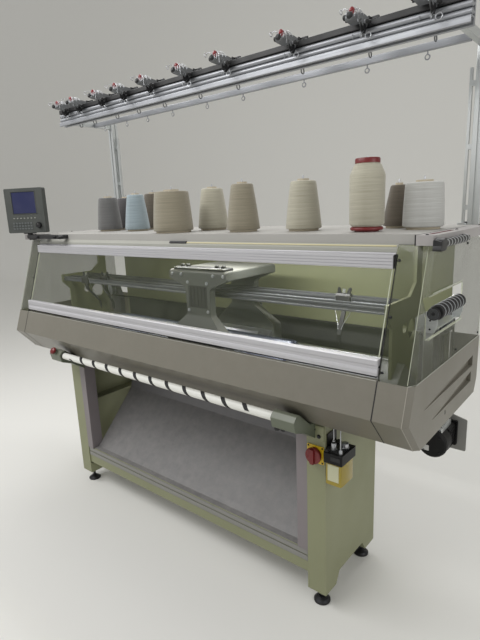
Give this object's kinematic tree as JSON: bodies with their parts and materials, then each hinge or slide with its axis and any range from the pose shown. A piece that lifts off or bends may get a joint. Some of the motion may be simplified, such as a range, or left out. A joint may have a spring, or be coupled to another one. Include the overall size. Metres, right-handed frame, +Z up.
{
  "type": "flat knitting machine",
  "caption": "Floor-standing flat knitting machine: two sloped needle beds under a clear hinged window, a belt-driven carriage, a yarn table on top and a tension rail on posts.",
  "frame": {"origin": "middle of the model's bounding box in plan, on the floor under the levelling feet", "axes": "+X along the machine to the operator's right, +Y from the operator's side to the rear, +Z up"},
  "size_m": [2.5656, 0.914, 2.3565],
  "materials": {
    "stand_paint": "khaki grey enamel",
    "trim_paint": "mauve grey enamel",
    "cover_paint": "taupe grey enamel, satin",
    "dark_paint": "dark grey enamel",
    "feet_steel": "blackened",
    "cast_frame": "machined casting",
    "bed_steel": "ground and blued",
    "bright_steel": "ground",
    "aluminium": "anodised",
    "table_laminate": "cream enamel",
    "clear_acrylic": "tinted acrylic",
    "carriage_casting": "dark enamel on a casting",
    "black_plastic": "moulded",
    "unit_plastic": "moulded",
    "lamp_red": "translucent",
    "belt_rubber": "toothed belt",
    "motor_black": "black enamel",
    "white_paint": "white enamel",
    "bracket_green": "grey-green enamel",
    "button_red": "moulded",
    "plate_yellow": "yellow enamel",
    "roller_rubber": "rubber on a steel core",
    "lubricator_plastic": "oil-filled bottle under a metal head",
    "controller_plastic": "moulded",
    "yarn": "wound yarn"
  },
  "bodies": {
    "machine_frame": {"left_stand": "stand_paint", "right_stand": "stand_paint", "stand_trims": "trim_paint", "lower_beams": "stand_paint", "levelling_feet": "feet_steel", "bed_base": "cast_frame", "front_needle_bed": "bed_steel", "rear_needle_bed": "bed_steel", "carriage_rails": "bright_steel", "yarn_carrier_rails": "bright_steel", "carrier_rail_brackets": "dark_paint", "fabric_chute": "dark_paint", "front_cover": "cover_paint", "left_end_cover": "cover_paint", "right_end_cover": "cover_paint", "left_end_window": "clear_acrylic", "right_end_window": "clear_acrylic", "rear_cover": "cover_paint", "header_cover": "aluminium", "yarn_table": "table_laminate", "table_end_pieces": "table_laminate", "end_guide_bar": "black_plastic", "overhead_posts": "aluminium", "tension_rail": "aluminium", "wiring_duct": "black_plastic", "guide_rail": "aluminium", "tension_units": "unit_plastic", "lamp_caps": "lamp_red", "drive_belt": "belt_rubber", "pulley_brackets": "dark_paint", "motor_belt": "belt_rubber", "servo_motor": "motor_black", "motor_bracket": "dark_paint", "feed_wheel_bracket": "white_paint", "bar_brackets": "bracket_green", "switch_plate": "plate_yellow", "roller_brackets": "dark_paint", "lubricator": "lubricator_plastic", "controller_arm": "black_plastic", "yarn_cones": "yarn"},
    "window": {"window_pane": "clear_acrylic", "window_top_rail": "aluminium", "window_bottom_rail": "aluminium"},
    "carriage": {"carriage_arch": "carriage_casting", "cam_plates": "bright_steel"},
    "drive_pulley": {"drive_pulley": "bright_steel"},
    "idler_pulley": {"idler_pulley": "bright_steel"},
    "motor_pulley": {"motor_pulley": "bright_steel"},
    "front_outer_feeder": {"front_outer_feeder": "black_plastic"},
    "front_inner_feeder": {"front_inner_feeder": "black_plastic"},
    "rear_inner_feeder": {"rear_inner_feeder": "black_plastic"},
    "feed_wheels": {"feed_wheels": "black_plastic"},
    "operating_bar": {"operating_bar": "white_paint"},
    "stop_button": {"stop_button": "button_red"},
    "switch_knob": {"switch_knob": "button_red"},
    "front_take_down_roller": {"front_take_down_roller": "roller_rubber"},
    "rear_take_down_roller": {"rear_take_down_roller": "roller_rubber"},
    "controller_yoke": {"controller_yoke": "black_plastic"},
    "controller_case": {"controller_case": "controller_plastic"},
    "controller_dial": {"controller_dial": "black_plastic"}
  },
  "joints": [
    {"name": "window_hinge", "type": "hinge", "parent": "machine_frame", "child": "window", "pos_m": [-0.00617, -0.24767, 1.498], "axis": [-1, 0, 0], "range_deg": [0, 75]},
    {"name": "carriage_slide", "type": "slide", "parent": "machine_frame", "child": "carriage", "axis": [1, 0, 0], "range_m": [-1.02, 0.64]},
    {"name": "drive_pulley_spin", "type": "hinge", "parent": "machine_frame", "child": "drive_pulley", "pos_m": [1.09383, 0.20901, 1.15], "axis": [0, 1, 0], "continuous": true},
    {"name": "idler_pulley_spin", "type": "hinge", "parent": "machine_frame", "child": "idler_pulley", "pos_m": [-1.10617, 0.20901, 1.15], "axis": [0, 1, 0], "continuous": true},
    {"name": "motor_pulley_spin", "type": "hinge", "parent": "machine_frame", "child": "motor_pulley", "pos_m": [1.14383, 0.33401, 0.665], "axis": [0, 1, 0], "continuous": true},
    {"name": "front_outer_feeder_slide", "type": "slide", "parent": "machine_frame", "child": "front_outer_feeder", "axis": [1, 0, 0], "range_m": [-0.19, 1.8]},
    {"name": "front_inner_feeder_slide", "type": "slide", "parent": "machine_frame", "child": "front_inner_feeder", "axis": [1, 0, 0], "range_m": [-0.31, 1.7]},
    {"name": "rear_inner_feeder_slide", "type": "slide", "parent": "machine_frame", "child": "rear_inner_feeder", "axis": [1, 0, 0], "range_m": [-1.8, 0.19]},
    {"name": "feed_wheels_spin", "type": "hinge", "parent": "machine_frame", "child": "feed_wheels", "pos_m": [1.23883, -0.17799, 1.302], "axis": [0, 1, 0], "continuous": true},
    {"name": "operating_bar_turn", "type": "hinge", "parent": "machine_frame", "child": "operating_bar", "pos_m": [-0.00617, -0.40499, 0.885], "axis": [1, 0, 0], "range_deg": [-12, 12], "stiffness_Nm_per_rad": 3},
    {"name": "stop_button_press", "type": "slide", "parent": "machine_frame", "child": "stop_button", "axis": [0, 0.7738, -0.6334], "range_m": [0, 0.005], "stiffness_N_per_m": 600, "springref_m": -0.003},
    {"name": "switch_knob_turn", "type": "hinge", "parent": "machine_frame", "child": "switch_knob", "pos_m": [0.83583, -0.28749, 0.71], "axis": [0, 1, 0], "range_deg": [0, 90]},
    {"name": "rear_roller_spin", "type": "hinge", "parent": "machine_frame", "child": "rear_take_down_roller", "pos_m": [-0.00617, -0.03649, 0.75], "axis": [1, 0, 0], "continuous": true},
    {"name": "front_roller_spin", "type": "hinge", "parent": "machine_frame", "child": "front_take_down_roller", "pos_m": [-0.00617, -0.08949, 0.75], "axis": [1, 0, 0], "continuous": true},
    {"name": "controller_swivel", "type": "hinge", "parent": "machine_frame", "child": "controller_yoke", "pos_m": [-1.16117, -0.29299, 1.565], "axis": [0, 0, 1], "range_deg": [-60, 40]},
    {"name": "controller_tilt", "type": "hinge", "parent": "controller_yoke", "child": "controller_case", "pos_m": [-1.16117, -0.29299, 1.586], "axis": [0.8988, 0.4384, 0], "range_deg": [-10, 10]},
    {"name": "controller_dial_spin", "type": "hinge", "parent": "controller_case", "child": "controller_dial", "pos_m": [-1.07177, -0.27553, 1.616], "axis": [0.4384, -0.8988, 0], "continuous": true}
  ],
  "couplings": [
    {"joint": "drive_pulley_spin", "follows": "carriage_slide", "rad_per_m": 29.412},
    {"joint": "idler_pulley_spin", "follows": "carriage_slide", "rad_per_m": 29.412},
    {"joint": "motor_pulley_spin", "follows": "carriage_slide", "rad_per_m": 63.725},
    {"joint": "front_roller_spin", "follows": "rear_roller_spin", "ratio": -1}
  ]
}
